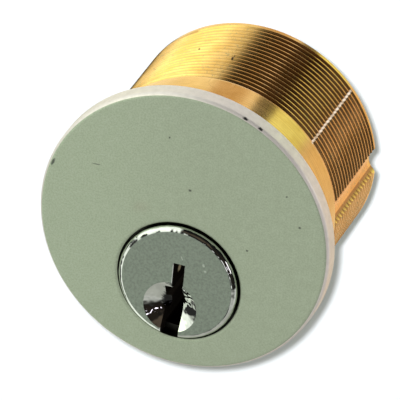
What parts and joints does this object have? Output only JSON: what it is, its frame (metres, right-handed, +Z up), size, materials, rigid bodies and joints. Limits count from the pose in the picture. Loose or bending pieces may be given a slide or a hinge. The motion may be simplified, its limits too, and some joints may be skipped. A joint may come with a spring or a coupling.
{
  "type": "mortise cylinder",
  "caption": "Short threaded mortise lock cylinder with a flat satin head, a plain neck, a fine-threaded brass barrel with side grooves, and an offset pin tumbler plug that turns a rear cam.",
  "frame": {"origin": "the barrel's thread axis, in the plane where the back of the head seats", "axes": "+Y along the thread axis from the head towards the cam; +Z up, from the keyway towards the pins; +X to the right seen from the key side"},
  "size_m": [0.0342, 0.0282, 0.0342],
  "materials": {
    "shell_brass": "turned brass with a satin plated head",
    "plug_nickel": "satin nickel plated face with a polished edge",
    "pin_brass": "turned",
    "pin_nickel_silver": "turned nickel silver",
    "spring_steel": "drawn wire",
    "cap_brass": "pressed in and threaded over",
    "cam_brass": "stamped, satin",
    "screw_steel": "zinc plated"
  },
  "bodies": {
    "shell": {"shell": "shell_brass", "chamber_cap_1": "cap_brass", "chamber_cap_2": "cap_brass", "chamber_cap_3": "cap_brass", "chamber_cap_4": "cap_brass", "chamber_cap_5": "cap_brass", "pin_spring_1": "spring_steel", "pin_spring_2": "spring_steel", "pin_spring_3": "spring_steel", "pin_spring_4": "spring_steel", "pin_spring_5": "spring_steel"},
    "plug": {"plug": "plug_nickel", "cam": "cam_brass", "cam_screws": "screw_steel"},
    "bottom_pin_1": {"bottom_pin_1": "pin_brass"},
    "driver_pin_1": {"driver_pin_1": "pin_nickel_silver"},
    "bottom_pin_2": {"bottom_pin_2": "pin_brass"},
    "driver_pin_2": {"driver_pin_2": "pin_nickel_silver"},
    "bottom_pin_3": {"bottom_pin_3": "pin_brass"},
    "driver_pin_3": {"driver_pin_3": "pin_nickel_silver"},
    "bottom_pin_4": {"bottom_pin_4": "pin_brass"},
    "driver_pin_4": {"driver_pin_4": "pin_nickel_silver"},
    "bottom_pin_5": {"bottom_pin_5": "pin_brass"},
    "driver_pin_5": {"driver_pin_5": "pin_nickel_silver"}
  },
  "joints": [
    {"name": "plug_turn", "type": "hinge", "parent": "shell", "child": "plug", "pos_m": [0, 0, -0.0064], "axis": [0, 1, 0], "continuous": true},
    {"name": "bottom_pin_slide_1", "type": "slide", "parent": "plug", "child": "bottom_pin_1", "axis": [0, 0, 1], "range_m": [-0.00185, 0]},
    {"name": "bottom_pin_slide_2", "type": "slide", "parent": "plug", "child": "bottom_pin_2", "axis": [0, 0, 1], "range_m": [-0.000711, 0]},
    {"name": "bottom_pin_slide_3", "type": "slide", "parent": "plug", "child": "bottom_pin_3", "axis": [0, 0, 1], "range_m": [-0.00147, 0]},
    {"name": "bottom_pin_slide_4", "type": "slide", "parent": "plug", "child": "bottom_pin_4", "axis": [0, 0, 1], "range_m": [-0.00033, 0]},
    {"name": "bottom_pin_slide_5", "type": "slide", "parent": "plug", "child": "bottom_pin_5", "axis": [0, 0, 1], "range_m": [-0.00224, 0]},
    {"name": "driver_pin_slide_1", "type": "slide", "parent": "shell", "child": "driver_pin_1", "axis": [0, 0, 1], "range_m": [0, 0.00128], "stiffness_N_per_m": 120, "springref_m": -0.003, "deforming": ["pin_spring_1"]},
    {"name": "driver_pin_slide_2", "type": "slide", "parent": "shell", "child": "driver_pin_2", "axis": [0, 0, 1], "range_m": [0, 0.00243], "stiffness_N_per_m": 120, "springref_m": -0.003, "deforming": ["pin_spring_2"]},
    {"name": "driver_pin_slide_3", "type": "slide", "parent": "shell", "child": "driver_pin_3", "axis": [0, 0, 1], "range_m": [0, 0.00166], "stiffness_N_per_m": 120, "springref_m": -0.003, "deforming": ["pin_spring_3"]},
    {"name": "driver_pin_slide_4", "type": "slide", "parent": "shell", "child": "driver_pin_4", "axis": [0, 0, 1], "range_m": [0, 0.00281], "stiffness_N_per_m": 120, "springref_m": -0.003, "deforming": ["pin_spring_4"]},
    {"name": "driver_pin_slide_5", "type": "slide", "parent": "shell", "child": "driver_pin_5", "axis": [0, 0, 1], "range_m": [0, 0.000901], "stiffness_N_per_m": 120, "springref_m": -0.003, "deforming": ["pin_spring_5"]}
  ]
}
